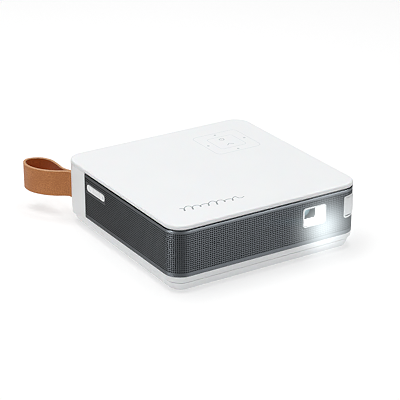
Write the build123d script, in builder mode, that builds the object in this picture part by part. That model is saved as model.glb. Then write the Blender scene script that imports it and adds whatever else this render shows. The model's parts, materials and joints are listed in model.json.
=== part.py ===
from build123d import *
from math import asin, atan, cos, degrees, pi, radians, sin, tan
import os

os.makedirs("parts", exist_ok=True)

# A square table-top LED projector with a perforated metal grille round three
# sides, a white rear shell, a carry strap at the back left corner, a thumbwheel
# that focuses the lens at the front right corner and a battery inside.
# +X is right as seen from the lens side, the lens looks along -Y, +Z is up.
# The origin is the mouth of the tripod socket, level with the feet.

# ------------------------------------------------------------ driving dimensions
# outer case
case_width = 146.0
case_depth = 146.0
case_height = 47.6
corner_radius = 12.0
front_clearance = 0.7  # underside of the base above the table, at the front
rear_clearance = 3.04  # and at the back, so the base is a shallow wedge
seam = 0.25

# heights of the stacked case pieces
wedge_top = 6.5
groove_height = 1.2
tier_height = 4.0
shadow_gap = 1.2
cover_edge = 2.7
cover_plate = 2.0
floor_thickness = 2.0

# walls, from the outside inwards
grille_wall = 0.6
screen_wall = 1.6
shell_wall = 2.4
skirt_wall = 1.4
tier_inset = 0.3
wedge_inset = 2.0
wedge_taper = 20.0
groove_inset = 1.6
fit_clearance = 0.2
shell_front = 44.4  # where the rear shell meets the grille

# lens window and focusing lens
lens_from_right = 37.0
lens_height = 31.05
window_width = 18.7
window_height = 13.9
window_corner = 2.4
window_rim = 1.1
hood_depth = 8.5
hood_corner = 1.5
hood_mouth_width = 13.0  # the hood's opening at the lens
hood_mouth_height = 10.6
barrel_radius = 8.0
barrel_bore = 6.4
barrel_length = 24.0
glass_lip = 0.8
rod_radius = 1.25
running_fit = 0.06
focus_travel = 2.7

# focus thumbwheel in the front right corner
wheel_radius = 9.2
wheel_inset = 9.7  # wheel axis to the front face and to the right face
wheel_bottom = 24.6
wheel_top = 38.2
wheel_ribs = 40
window_edge = 12.1  # end of the wheel's window, from the front and right faces
window_frame = 0.8
window_gap = 0.3  # between the wheel's ends and its window
axle_radius = 1.5
gear_module = 1.0
pinion_teeth = 10
gear_bottom = 17.0
gear_top = 21.0
gear_addendum = 0.8
rack_addendum = 0.5
gear_dedendum = 1.1
gear_backlash = 0.3
pressure_angle = 20.0

# power button on the left side
button_length = 24.6
button_height = 5.1
button_back = 31.7  # button's rear end to the back of the case
button_level = 35.15
button_travel = 0.8
button_gap = 0.3
button_flange = 1.2

# carry strap
strap_width = 19.0
strap_thickness = 1.8
strap_bottom = 16.0
strap_play = 0.4
tail_length = 19.0
clamp_plate = 0.7
clamp_length = 8.0
clamp_gap = 0.1  # between the clamp and the shell's inner face
rivet_radius = 1.5
rivet_head = 2.4
rivet_pitch = 10.0

# inside
board_level = 13.0
board_thickness = 1.6
board_from_left = 15.0
board_from_lens = 27.0
board_front = 20.0
pillar_radius = 2.5
board_screw = 0.9
fan_from_lens = 6.0
fan_y = 43.0
fan_level = 27.0
cell_radius = 9.2
cell_length = 65.0
cell_count = 3
fan_size = 30.0
fan_depth = 10.0
post_radius = 3.5
screw_radius = 1.25
foot_radius = 5.5
foot_pocket = 1.4
insert_radius = 5.0
tripod_radius = 3.175
tripod_depth = 8.0
case_screw_head = 2.2
screw_recess = 1.6

# rear sockets, window and vents
port_recess = 0.4
port_play = 0.4
hdmi_width = 15.0
hdmi_height = 5.6
usb_width = 13.2
usb_height = 6.2
audio_radius = 3.0
audio_bore = 1.8
dc_radius = 4.0
dc_bore = 2.9
ir_radius = 4.0
ir_level = 33.0
vent_pitch = 4.0
vent_count = 13
vent_height = 22.0
vent_width = 2.0
intake_pitch = 4.0
intake_count = 7
intake_length = 18.0
intake_width = 1.8

# ------------------------------------------------------------ derived places
groove_top = wedge_top + groove_height
tier_top = groove_top + tier_height
cover_bottom = case_height - cover_edge
grille_top = cover_bottom - shadow_gap
floor_top = groove_top + floor_thickness
cover_under = case_height - cover_plate
board_top = board_level + board_thickness
half_width = case_width / 2
half_depth = case_depth / 2
screen_inset = grille_wall + screen_wall
wedge_angle = degrees(atan((rear_clearance - front_clearance) / case_depth))
wedge_mid = (front_clearance + rear_clearance) / 2
underside = Plane(origin=(0, 0, wedge_mid), z_dir=(0, -sin(radians(wedge_angle)), cos(radians(wedge_angle))))
lens_x = half_width - lens_from_right
wheel_x = half_width - wheel_inset
wheel_y = -half_depth + wheel_inset
window_x = half_width - window_edge
window_y = -half_depth + window_edge
pitch_radius = gear_module * pinion_teeth / 2
rack_x = wheel_x - pitch_radius
hood_end = -half_depth + hood_depth
barrel_front = hood_end + focus_travel + 0.8
barrel_back = barrel_front + barrel_length
post_places = [(sx * (half_width - 10), y) for sx in (-1, 1) for y in (-34, 46)]
foot_x = half_width - 17
foot_y = half_depth - 15
button_y = half_depth - button_back - button_length / 2
strap_in_x = -half_width + shell_wall + clamp_gap + clamp_plate + strap_thickness  # middle of the two layers
strap_level = strap_bottom + strap_width / 2
board_left = -half_width + board_from_left
board_right = lens_x - board_from_lens
board_pillars = [(board_left + 3, half_depth - 17), (board_right - 3, half_depth - 19)]
board_pillars += [(board_left + 3, board_front + 4), (board_right - 3, board_front + 4)]
fan_x = lens_x + fan_from_lens
port_level = board_top + usb_height / 2
hdmi_place = (board_left + 12, board_top + hdmi_height / 2)
usb_place = (board_left + 32, port_level)
audio_place = (board_left + 47, port_level)
dc_place = (board_left + 59, port_level)
ir_place = (board_left + 22, ir_level)
vent_place = (lens_x + 4, (tier_top + cover_bottom) / 2)
intake_place = (fan_x, fan_y + 1)


def outline(inset):
    """The case's outline in plan, drawn in by inset."""
    return RectangleRounded(case_width - 2 * inset, case_depth - 2 * inset, corner_radius - inset)


def band(outer, inner, bottom, top, back=None, front=None):
    """A wall that follows the case's outline, kept in front of back or behind front."""
    with BuildPart() as wall:
        with BuildSketch(Plane.XY.offset(bottom)):
            outline(outer)
            offset(amount=outer - inner, mode=Mode.SUBTRACT)
            if back is not None:
                with Locations((0, back + case_depth / 2)):
                    Rectangle(case_width, case_depth, mode=Mode.SUBTRACT)
            if front is not None:
                with Locations((0, front - case_depth / 2)):
                    Rectangle(case_width, case_depth, mode=Mode.SUBTRACT)
        extrude(amount=top - bottom)
    return wall.part


def block(low, high):
    """A box between two corners."""
    middle = [(a + b) / 2 for a, b in zip(low, high)]
    sides = [b - a for a, b in zip(low, high)]
    with BuildPart() as body:
        with Locations(tuple(middle)):
            Box(*sides)
    return body.part


def wheel_window(margin):
    """The space of the corner window, grown by margin."""
    tall = wheel_top - wheel_bottom + 2 * (window_gap + margin)
    middle = (wheel_top + wheel_bottom) / 2
    reach = window_edge + 8
    with BuildPart() as space:
        with BuildSketch(Plane.XZ.offset(half_depth + 2)):
            with Locations((window_x - margin + reach / 2, middle)):
                RectangleRounded(reach, tall, 2)
        extrude(amount=-(window_edge + margin + 2))
        with BuildSketch(Plane.YZ.offset(half_width + 2)):
            with Locations((window_y + margin - reach / 2, middle)):
                RectangleRounded(reach, tall, 2)
        extrude(amount=-(window_edge + margin + 2), mode=Mode.INTERSECT)
    return space.part


def lens_tube(radius, front, back):
    """A round bar on the lens axis, between two places along Y."""
    with BuildPart() as bar:
        with BuildSketch(Plane.XZ.offset(-front)):
            with Locations((lens_x, lens_height)):
                Circle(radius)
        extrude(amount=front - back)
    return bar.part


def pill(length, height, low_x, high_x):
    """A rounded bar along Y at the power button's place, between two places along X."""
    with BuildPart() as bar:
        with BuildSketch(Plane.YZ.offset(low_x)):
            with Locations((button_y, button_level)):
                SlotOverall(length, height)
        extrude(amount=high_x - low_x)
    return bar.part


def lens_window_cut():
    """The lens window's outline, cut through whatever stands between the front and the hood."""
    with BuildPart() as cut:
        with BuildSketch(Plane.XZ.offset(half_depth + 1)):
            with Locations((lens_x, lens_height)):
                RectangleRounded(window_width, window_height, window_corner)
        extrude(amount=-5)
    return cut.part


def intake_slots(bottom, top):
    """The air slots under the fan, between two heights."""
    with BuildPart() as slots:
        with BuildSketch(Plane.XY.offset(bottom)):
            with Locations(intake_place):
                with GridLocations(intake_pitch, 0, intake_count, 1):
                    SlotOverall(intake_length, intake_width, rotation=90)
        extrude(amount=top - bottom)
    return slots.part


def save(part, name):
    """Writes one part as a STEP file under its own name."""
    part.label = name
    export_step(part, f"parts/{name}.step")


# ------------------------------------------------------------ top cover
with BuildPart() as top_cover:
    with BuildSketch(Plane.XY.offset(cover_bottom)):
        outline(0)
    extrude(amount=cover_edge)
    fillet(top_cover.faces().sort_by(Axis.Z)[-1].edges(), radius=1.3)
    chamfer(top_cover.faces().sort_by(Axis.Z)[0].edges(), length=seam)
    with BuildSketch(Plane.XY.offset(cover_bottom)):
        outline(shell_wall + fit_clearance + skirt_wall)
    extrude(amount=cover_edge - cover_plate, mode=Mode.SUBTRACT)
    skirt_outer = shell_wall + fit_clearance
    add(band(skirt_outer, skirt_outer + skirt_wall, cover_bottom - 2.6, cover_under))
    with BuildSketch(Plane.XY.offset(floor_top)):
        with Locations(*post_places):
            Circle(post_radius)
    extrude(amount=cover_under - floor_top)
    with BuildSketch(Plane.XY.offset(wheel_top + 3)):
        with Locations((wheel_x, wheel_y)):
            Circle(3.5)
    extrude(amount=cover_under - wheel_top - 3)
    with Locations((wheel_x, wheel_y, wheel_top + 3)):
        Cylinder(axle_radius, 3, align=(Align.CENTER, Align.CENTER, Align.MIN), mode=Mode.SUBTRACT)
    for place in post_places:
        with Locations((*place, floor_top)):
            Cylinder(screw_radius, 10, align=(Align.CENTER, Align.CENTER, Align.MIN), mode=Mode.SUBTRACT)
save(top_cover.part, "top_cover")

# ------------------------------------------------------------ shadow gasket under the cover
gasket = band(1.2, shell_wall, grille_top, cover_bottom, back=shell_front)
save(gasket, "shadow_gasket")

# ------------------------------------------------------------ perforated grille
window_space = wheel_window(window_frame)
hole_length = button_length + 2 * button_gap
hole_height = button_height + 2 * button_gap
button_hole = pill(hole_length, hole_height, -half_width - 1, -half_width + 5)
with BuildPart() as mesh_grille:
    add(band(0, grille_wall, tier_top, grille_top, back=shell_front))
    add(lens_window_cut(), mode=Mode.SUBTRACT)
    add(button_hole, mode=Mode.SUBTRACT)
    add(window_space, mode=Mode.SUBTRACT)
save(mesh_grille.part, "mesh_grille")

# ------------------------------------------------------------ dust screen behind the grille
with BuildPart() as dust_screen:
    add(band(grille_wall, screen_inset, tier_top, grille_top, back=shell_front))
    add(lens_window_cut(), mode=Mode.SUBTRACT)
    add(button_hole, mode=Mode.SUBTRACT)
    with BuildSketch(Plane.XY.offset(wheel_bottom - 0.6)):
        with Locations((wheel_x, wheel_y)):
            Circle(wheel_radius + 0.5)
    extrude(amount=wheel_top - wheel_bottom + 1.2, mode=Mode.SUBTRACT)
    add(window_space, mode=Mode.SUBTRACT)
save(dust_screen.part, "dust_screen")

# ------------------------------------------------------------ frame round the wheel's window
with BuildPart() as focus_bezel:
    add(wheel_window(window_frame))
    add(wheel_window(0), mode=Mode.SUBTRACT)
    add(band(0, grille_wall, tier_top, grille_top), mode=Mode.INTERSECT)
save(focus_bezel.part, "focus_bezel")

# ------------------------------------------------------------ base frame, the upper tier
with BuildPart() as base_frame:
    with BuildSketch(Plane.XY.offset(groove_top)):
        outline(tier_inset)
    extrude(amount=floor_thickness)
    chamfer(base_frame.faces().sort_by(Axis.Z)[0].edges(), length=0.5)
    add(band(tier_inset, shell_wall + 1.8, floor_top, tier_top))
    rim_outer = shell_wall + fit_clearance
    add(band(rim_outer, rim_outer + 1.2, tier_top, tier_top + 2.0))
    with BuildSketch(Plane.XY.offset(wedge_top)):
        outline(wedge_inset + groove_inset)
    extrude(amount=groove_height)
    with BuildSketch(Plane.XY.offset(floor_top)):
        with Locations((wheel_x, wheel_y)):
            Circle(4)
    extrude(amount=gear_bottom - 0.2 - floor_top)
    with Locations((wheel_x, wheel_y, floor_top)):
        Cylinder(axle_radius, 20, align=(Align.CENTER, Align.CENTER, Align.MIN), mode=Mode.SUBTRACT)
    with BuildSketch(Plane.XY.offset(floor_top)):
        with Locations(*board_pillars):
            Circle(pillar_radius)
            Circle(board_screw, mode=Mode.SUBTRACT)
    extrude(amount=board_level - floor_top)
    with BuildSketch(Plane.XY.offset(wedge_top)):
        with Locations(*post_places):
            Circle(screw_radius + 0.3)
    extrude(amount=floor_top - wedge_top, mode=Mode.SUBTRACT)
    with BuildSketch(Plane.XY.offset(wedge_top)):
        Circle(insert_radius)
    extrude(amount=floor_top - wedge_top, mode=Mode.SUBTRACT)
    add(intake_slots(wedge_top, floor_top), mode=Mode.SUBTRACT)
save(base_frame.part, "base_frame")

# ------------------------------------------------------------ bottom cover, the wedge
with BuildPart() as bottom_cover:
    with BuildSketch(Plane.XY.offset(wedge_top)):
        outline(wedge_inset)
    extrude(amount=-wedge_top, taper=wedge_taper)
    split(bisect_by=underside, keep=Keep.TOP)
    fillet(bottom_cover.faces().sort_by(Axis.Z)[0].edges(), radius=1.2)
    with BuildSketch(Plane.XY):
        Circle(insert_radius + 3)
    extrude(amount=wedge_mid + 1)
    for place in post_places:
        with Locations((*place, 0)):
            Cylinder(screw_radius + 0.3, 30, mode=Mode.SUBTRACT)
        with Locations((*place, wedge_top - screw_recess)):
            Cylinder(2.6, 10, align=(Align.CENTER, Align.CENTER, Align.MAX), mode=Mode.SUBTRACT)
    for side_x in (-foot_x, foot_x):
        for end_y in (-foot_y, foot_y):
            level = wedge_mid + end_y * (rear_clearance - front_clearance) / case_depth
            with Locations((side_x, end_y, level + foot_pocket)):
                Cylinder(foot_radius, 10, align=(Align.CENTER, Align.CENTER, Align.MAX), mode=Mode.SUBTRACT)
    Cylinder(insert_radius, 40, mode=Mode.SUBTRACT)
    add(intake_slots(0, wedge_top), mode=Mode.SUBTRACT)
save(bottom_cover.part, "bottom_cover")

# ------------------------------------------------------------ feet
for name, end_y in (("front_feet", -foot_y), ("rear_feet", foot_y)):
    level = wedge_mid + end_y * (rear_clearance - front_clearance) / case_depth
    with BuildPart() as feet:
        with BuildSketch(Plane.XY):
            with Locations((-foot_x, end_y), (foot_x, end_y)):
                Circle(foot_radius)
        extrude(amount=level + foot_pocket)
        chamfer(feet.faces().group_by(Axis.Z)[0].edges(), length=0.3)
    save(feet.part, name)

# ------------------------------------------------------------ tripod insert
with BuildPart() as tripod_insert:
    with BuildSketch(Plane.XY):
        Circle(insert_radius)
    extrude(amount=floor_top)
    with BuildSketch(Plane.XY):
        Circle(tripod_radius)
    extrude(amount=tripod_depth, mode=Mode.SUBTRACT)
save(tripod_insert.part, "tripod_insert")

# ------------------------------------------------------------ case screws
with BuildPart() as case_screws:
    with BuildSketch(Plane.XY.offset(wedge_top - screw_recess - 1.5)):
        with Locations(*post_places):
            Circle(case_screw_head)
            RegularPolygon(1.0, 6, mode=Mode.SUBTRACT)
    extrude(amount=1.5)
    with BuildSketch(Plane.XY.offset(wedge_top - 1.9)):
        with Locations(*post_places):
            Circle(screw_radius)
    extrude(amount=floor_top + 8 - wedge_top + 1.9)
save(case_screws.part, "case_screws")

# ------------------------------------------------------------ rear shell
slot_half = strap_thickness + strap_play
strap_slot = block(
    (strap_in_x - slot_half, half_depth - 14, strap_bottom - strap_play),
    (strap_in_x + slot_half, half_depth + 1, strap_bottom + strap_width + strap_play),
)
with BuildPart() as rear_shell:
    add(band(0, shell_wall, tier_top, cover_bottom, front=shell_front))
    chamfer(rear_shell.faces().sort_by(Axis.Z)[-1].edges().sort_by(Axis.X)[0], length=seam)
    with BuildSketch(Plane.XZ.offset(-half_depth - 1)):
        with Locations(vent_place):
            with GridLocations(vent_pitch, 0, vent_count, 1):
                SlotOverall(vent_height, vent_width, rotation=90)
        with Locations(hdmi_place):
            Rectangle(hdmi_width + port_play, hdmi_height + port_play)
        with Locations(usb_place):
            Rectangle(usb_width + port_play, usb_height + port_play)
        with Locations(audio_place):
            Circle(audio_radius + port_play / 2)
        with Locations(dc_place):
            Circle(dc_radius + port_play / 2)
        with Locations(ir_place):
            Circle(ir_radius)
    extrude(amount=6, mode=Mode.SUBTRACT)
    add(strap_slot, mode=Mode.SUBTRACT)
save(rear_shell.part, "rear_shell")

# ------------------------------------------------------------ infrared window
with BuildPart() as ir_window:
    with BuildSketch(Plane.XZ.offset(-half_depth + 0.2)):
        with Locations(ir_place):
            Circle(ir_radius)
    extrude(amount=1.8)
save(ir_window.part, "ir_window")

# ------------------------------------------------------------ rear sockets
port_mouth = Plane.XZ.offset(-half_depth + port_recess)
hdmi_depth = 12.0
usb_depth = 14.0
sheet = 0.4  # thickness of the folded metal
back_sheet = 0.6
tongue_recess = 1.8


def socket_shell(place, width, height, depth):
    """A folded metal socket shell on the board, its mouth in the back wall."""
    with BuildPart() as shell:
        with BuildSketch(port_mouth):
            with Locations(place):
                Rectangle(width, height)
        extrude(amount=depth)
        with BuildSketch(port_mouth):
            with Locations(place):
                Rectangle(width - 2 * sheet, height - 2 * sheet)
        extrude(amount=depth - back_sheet, mode=Mode.SUBTRACT)
    return shell.part


def socket_tongue(place, width, height, depth):
    """The plastic tongue that carries a socket's contacts, up to the shell's closed end."""
    with BuildPart() as tongue:
        with BuildSketch(port_mouth.offset(tongue_recess)):
            with Locations(place):
                Rectangle(width, height)
        extrude(amount=depth - back_sheet - tongue_recess)
    return tongue.part


usb_tongue_place = (usb_place[0], usb_place[1] + 1)
save(socket_shell(hdmi_place, hdmi_width, hdmi_height, hdmi_depth), "hdmi_shell")
save(socket_tongue(hdmi_place, 10.6, 1.1, hdmi_depth), "hdmi_tongue")
save(socket_shell(usb_place, usb_width, usb_height, usb_depth), "usb_shell")
save(socket_tongue(usb_tongue_place, 10.8, 1.8, usb_depth), "usb_tongue")

collar = 2.6  # a round socket's collar, through the back wall


def round_socket(place, radius, bore, bore_depth, width, height, depth):
    """A socket with a round collar in the back wall and a square body on the board."""
    with BuildPart() as socket:
        with BuildSketch(port_mouth):
            with Locations(place):
                Circle(radius)
        extrude(amount=collar)
        with BuildSketch(port_mouth.offset(collar)):
            with Locations((place[0], board_top + height / 2)):
                Rectangle(width, height)
        extrude(amount=depth)
        with BuildSketch(port_mouth):
            with Locations(place):
                Circle(bore)
        extrude(amount=bore_depth, mode=Mode.SUBTRACT)
    return socket.part


dc_depth = 11.0
pin_recess = 1.6
save(round_socket(audio_place, audio_radius, audio_bore, 14.0, 6.4, 6.0, 12.0), "audio_jack")
save(round_socket(dc_place, dc_radius, dc_bore, dc_depth, 9.0, 8.8, 11.0), "dc_inlet")

with BuildPart() as dc_pin:
    with BuildSketch(port_mouth.offset(pin_recess)):
        with Locations(dc_place):
            Circle(0.8)
    extrude(amount=dc_depth - pin_recess)
save(dc_pin.part, "dc_pin")

# ------------------------------------------------------------ strap and its clamp
loop_start = half_depth - 1.0
tail_end = loop_start - tail_length
clamp_y = tail_end + clamp_length / 2
tail_left = strap_in_x - strap_thickness
tail_right = strap_in_x + strap_thickness
loop_bends = [(-4.2, 3.2), (-10.6, 7.4), (-17.2, 14.4), (-21.6, 23.5), (-21.6, 32.5)]
loop_bends += [(-17.6, 38.4), (-11.0, 38.6), (-5.2, 34.8), (-1.6, 27.5), (-1.2, 18.5), (-1.4, 9.0)]
loop_outside = [(strap_in_x + x, loop_start + y) for x, y in loop_bends]


def drawn_in(points, distance):
    """Points moved to the right of the way they run, by a distance."""
    moved = []
    for before, here, after in zip(points, points[1:], points[2:]):
        way = Vector(*after) - Vector(*before)
        moved.append((here[0] + distance * way.Y / way.length, here[1] - distance * way.X / way.length))
    return moved


loop_ends = [(tail_left, loop_start), *loop_outside, (tail_right, loop_start)]
loop_inside = drawn_in(loop_ends, strap_thickness)
with BuildPart() as strap:
    with BuildSketch(Plane.XY.offset(strap_bottom)):
        with BuildLine():
            Spline(*loop_ends, tangents=[(0, 1), (0, -1)])
            Line((tail_right, loop_start), (tail_left, loop_start))
        make_face()
        with BuildLine():
            Spline((strap_in_x, loop_start + 2.0), *loop_inside, (strap_in_x, loop_start + 2.0))
        make_face(mode=Mode.SUBTRACT)
    extrude(amount=strap_width)
    with BuildSketch(Plane.XY.offset(strap_bottom)):
        with Locations((strap_in_x, (loop_start + tail_end) / 2)):
            Rectangle(2 * strap_thickness, loop_start - tail_end)
    extrude(amount=strap_width)
    with BuildSketch(Plane.YZ.offset(tail_left)):
        with Locations((clamp_y, strap_level)):
            with GridLocations(1, rivet_pitch, 1, 2):
                Circle(rivet_radius)
    extrude(amount=2 * strap_thickness, mode=Mode.SUBTRACT)
save(strap.part, "strap")

with BuildPart() as strap_clamp:
    for side_x in (tail_left - clamp_plate, tail_right):
        with BuildSketch(Plane.YZ.offset(side_x)):
            with Locations((clamp_y, strap_level)):
                RectangleRounded(clamp_length, strap_width, 1.5)
                with GridLocations(1, rivet_pitch, 1, 2):
                    Circle(rivet_radius, mode=Mode.SUBTRACT)
        extrude(amount=clamp_plate)
save(strap_clamp.part, "strap_clamp")

with BuildPart() as strap_rivets:
    with BuildSketch(Plane.YZ.offset(tail_left - clamp_plate)):
        with Locations((clamp_y, strap_level)):
            with GridLocations(1, rivet_pitch, 1, 2):
                Circle(rivet_radius)
    extrude(amount=2 * (strap_thickness + clamp_plate))
    with BuildSketch(Plane.YZ.offset(tail_right + clamp_plate)):
        with Locations((clamp_y, strap_level)):
            with GridLocations(1, rivet_pitch, 1, 2):
                Circle(rivet_head)
    extrude(amount=0.7)
save(strap_rivets.part, "strap_rivets")

# ------------------------------------------------------------ lens window
with BuildPart() as lens_hood:
    with BuildSketch(Plane.XZ.offset(half_depth)):
        with Locations((lens_x, lens_height)):
            RectangleRounded(window_width, window_height, window_corner)
    extrude(amount=-hood_depth)
    with BuildSketch(Plane.XZ.offset(half_depth - screen_inset)):
        with Locations((lens_x, lens_height)):
            RectangleRounded(window_width + 3, window_height + 3, window_corner)
    extrude(amount=-1.2)
    with BuildSketch(Plane.XZ.offset(half_depth)):
        with Locations((lens_x, lens_height)):
            RectangleRounded(window_width - 2 * window_rim, window_height - 2 * window_rim, hood_corner)
    with BuildSketch(Plane.XZ.offset(half_depth - hood_depth)):
        with Locations((lens_x, lens_height)):
            RectangleRounded(hood_mouth_width, hood_mouth_height, hood_corner)
    loft(mode=Mode.SUBTRACT)
save(lens_hood.part, "lens_hood")

# ------------------------------------------------------------ focusing lens group
rod_left = (lens_x - barrel_radius - 3.6, lens_height)
rod_right = (lens_x + 6.0, (gear_bottom + gear_top) / 2)
rack_front = -half_depth + screen_inset + focus_travel + 0.4
rack_back = barrel_front + 4.0
arm_back = barrel_front + 14.0
rack_root = rack_x - gear_dedendum
half_tooth = gear_module * pi / 4 - gear_backlash / 2
tooth_slope = tan(radians(pressure_angle))
with BuildPart() as lens_barrel:
    add(lens_tube(barrel_radius, barrel_front, barrel_back))
    add(
        block(
            (rod_left[0] - 3, barrel_front + 3, lens_height - 3.5),
            (lens_x, barrel_back - 1, lens_height + 3.5),
        )
    )
    add(block((lens_x, arm_back - 10, gear_bottom - 1.5), (rod_right[0] + 4, arm_back, lens_height - 6)))
    add(block((rod_right[0], arm_back - 10, gear_bottom), (rack_root, arm_back, gear_top)))
    add(block((rack_root - 3, rack_front, gear_bottom), (rack_root, arm_back, gear_top)))
    with BuildSketch(Plane.XY.offset(gear_bottom)):
        tooth_count = int((rack_back - rack_front) / (gear_module * pi)) + 1
        for index in range(-1, tooth_count - 1):
            tooth_y = wheel_y + index * gear_module * pi
            root = half_tooth + gear_dedendum * tooth_slope
            tip = half_tooth - rack_addendum * tooth_slope
            with BuildLine():
                Polyline(
                    (rack_root, tooth_y - root),
                    (rack_x + rack_addendum, tooth_y - tip),
                    (rack_x + rack_addendum, tooth_y + tip),
                    (rack_root, tooth_y + root),
                    close=True,
                )
            make_face()
    extrude(amount=gear_top - gear_bottom)
    add(lens_tube(barrel_bore - glass_lip, barrel_front - 1, barrel_back + 1), mode=Mode.SUBTRACT)
    add(lens_tube(barrel_bore, barrel_front + 0.8, barrel_back - 0.8), mode=Mode.SUBTRACT)
    with BuildSketch(Plane.XZ.offset(half_depth)):
        with Locations(rod_left, rod_right):
            Circle(rod_radius + running_fit)
    extrude(amount=-case_depth, mode=Mode.SUBTRACT)
save(lens_barrel.part, "lens_barrel")


def lens(front, edge, crown):
    """A glass lens with a straight edge and a front crown, its edge starting at front."""
    clear = barrel_bore - glass_lip
    ball = (clear**2 + crown**2) / (2 * crown)
    with BuildPart() as glass:
        with BuildSketch(Plane.XY):
            with BuildLine():
                Line((0, 0), (0, edge + crown))
                RadiusArc((0, edge + crown), (clear, edge), ball)
                Line((clear, edge), (barrel_bore, edge))
                Line((barrel_bore, edge), (barrel_bore, 0))
                Line((barrel_bore, 0), (0, 0))
            make_face()
        revolve(axis=Axis.Y)
    turned = Rot(0, 0, 180) * glass.part
    return Pos(lens_x, front + edge, lens_height) * turned


front_glass = lens(barrel_front + 0.8, 2.2, 0.7)
with BuildPart() as front_lens:
    add(front_glass)
save(front_lens.part, "front_lens")

rear_glass = lens(barrel_back - 0.8 - 2.4, 2.4, 1.6)
with BuildPart() as rear_lens:
    add(rear_glass)
save(rear_lens.part, "rear_lens")

with BuildPart() as lens_spacer:
    add(lens_tube(barrel_bore, barrel_front + 3.0, barrel_back - 3.2))
    add(lens_tube(barrel_bore - 0.5, barrel_front + 2, barrel_back), mode=Mode.SUBTRACT)
save(lens_spacer.part, "lens_spacer")

# ------------------------------------------------------------ cradle and guide rods of the lens
cradle_front = -half_depth + 5.0
cradle_back = barrel_back + focus_travel + 0.8
cradle_left = lens_x - 16.0
cradle_right = lens_x + 13.0
cradle_top = lens_height + 9.5
engine_floor = floor_top + 2.3
with BuildPart() as lens_cradle:
    add(block((cradle_left, cradle_front, floor_top), (cradle_right, cradle_back + 2, engine_floor)))
    add(block((cradle_left, cradle_front, floor_top), (cradle_right, cradle_front + 2, cradle_top)))
    add(block((cradle_left, cradle_back, floor_top), (cradle_right, cradle_back + 2, cradle_top)))
    with BuildSketch(Plane.XZ.offset(half_depth)):
        with Locations((lens_x, lens_height)):
            RectangleRounded(window_width, window_height, window_corner)
        with Locations(rod_left, rod_right):
            Circle(rod_radius)
    extrude(amount=-hood_depth, mode=Mode.SUBTRACT)
    with BuildSketch(Plane.XZ.offset(-cradle_back + 1)):
        with Locations((lens_x, lens_height)):
            Circle(barrel_bore)
        with Locations(rod_left, rod_right):
            Circle(rod_radius)
    extrude(amount=-4, mode=Mode.SUBTRACT)
save(lens_cradle.part, "lens_cradle")

with BuildPart() as guide_rods:
    with BuildSketch(Plane.XZ.offset(-cradle_front)):
        with Locations(rod_left, rod_right):
            Circle(rod_radius)
    extrude(amount=cradle_front - cradle_back - 2)
save(guide_rods.part, "guide_rods")

# ------------------------------------------------------------ focus thumbwheel and its axle
base_radius = pitch_radius * cos(radians(pressure_angle))
root_radius = pitch_radius - gear_dedendum + 0.2
involute_pitch = tan(radians(pressure_angle)) - radians(pressure_angle)
half_angle = half_tooth / pitch_radius


def flank(radius):
    """Half of the pinion tooth's angle at a radius, on its involute."""
    if radius <= base_radius:
        return half_angle + involute_pitch
    roll = (radius**2 - base_radius**2) ** 0.5 / base_radius
    return half_angle + involute_pitch - (roll - asin((radius**2 - base_radius**2) ** 0.5 / radius))


def polar(radius, angle):
    """The point at a radius and an angle."""
    return (radius * cos(angle), radius * sin(angle))


with BuildPart() as focus_wheel:
    with BuildSketch(Plane.XY.offset(wheel_bottom)):
        with Locations((wheel_x, wheel_y)):
            Circle(wheel_radius)
    extrude(amount=wheel_top - wheel_bottom)
    chamfer(focus_wheel.edges().filter_by(GeomType.CIRCLE), length=0.8)
    with BuildSketch(Plane.XY.offset(wheel_bottom)):
        with Locations((wheel_x, wheel_y)):
            with PolarLocations(wheel_radius + 0.1, wheel_ribs):
                Circle(0.35)
    extrude(amount=wheel_top - wheel_bottom, mode=Mode.SUBTRACT)
    with BuildSketch(Plane.XY.offset(wheel_top - 5)):
        with Locations((wheel_x, wheel_y)):
            Circle(wheel_radius - 2)
            Circle(axle_radius + 2, mode=Mode.SUBTRACT)
    extrude(amount=5, mode=Mode.SUBTRACT)
    with BuildSketch(Plane.XY.offset(gear_bottom)):
        with Locations((wheel_x, wheel_y)):
            Circle(axle_radius + 2)
    extrude(amount=wheel_top + 2.8 - gear_bottom)
    with BuildSketch(Plane.XY.offset(gear_bottom)):
        tip_radius = pitch_radius + gear_addendum
        radii = [root_radius, base_radius, pitch_radius, tip_radius]
        with Locations((wheel_x, wheel_y)):
            Circle(root_radius)
        for index in range(pinion_teeth):
            middle = pi + (index + 0.5) * 2 * pi / pinion_teeth
            low = [polar(r, middle - flank(r)) for r in radii]
            high = [polar(r, middle + flank(r)) for r in reversed(radii)]
            with BuildLine(Plane((wheel_x, wheel_y, gear_bottom))):
                Polyline(*low, *high, close=True)
            make_face()
    extrude(amount=gear_top - gear_bottom)
    with BuildSketch(Plane.XY.offset(gear_bottom)):
        with Locations((wheel_x, wheel_y)):
            Circle(axle_radius + running_fit)
    extrude(amount=wheel_top + 10 - gear_bottom, mode=Mode.SUBTRACT)
save(focus_wheel.part, "focus_wheel")

with BuildPart() as focus_axle:
    with BuildSketch(Plane.XY.offset(floor_top)):
        with Locations((wheel_x, wheel_y)):
            Circle(axle_radius)
    extrude(amount=wheel_top + 6 - floor_top)
save(focus_axle.part, "focus_axle")

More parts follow.
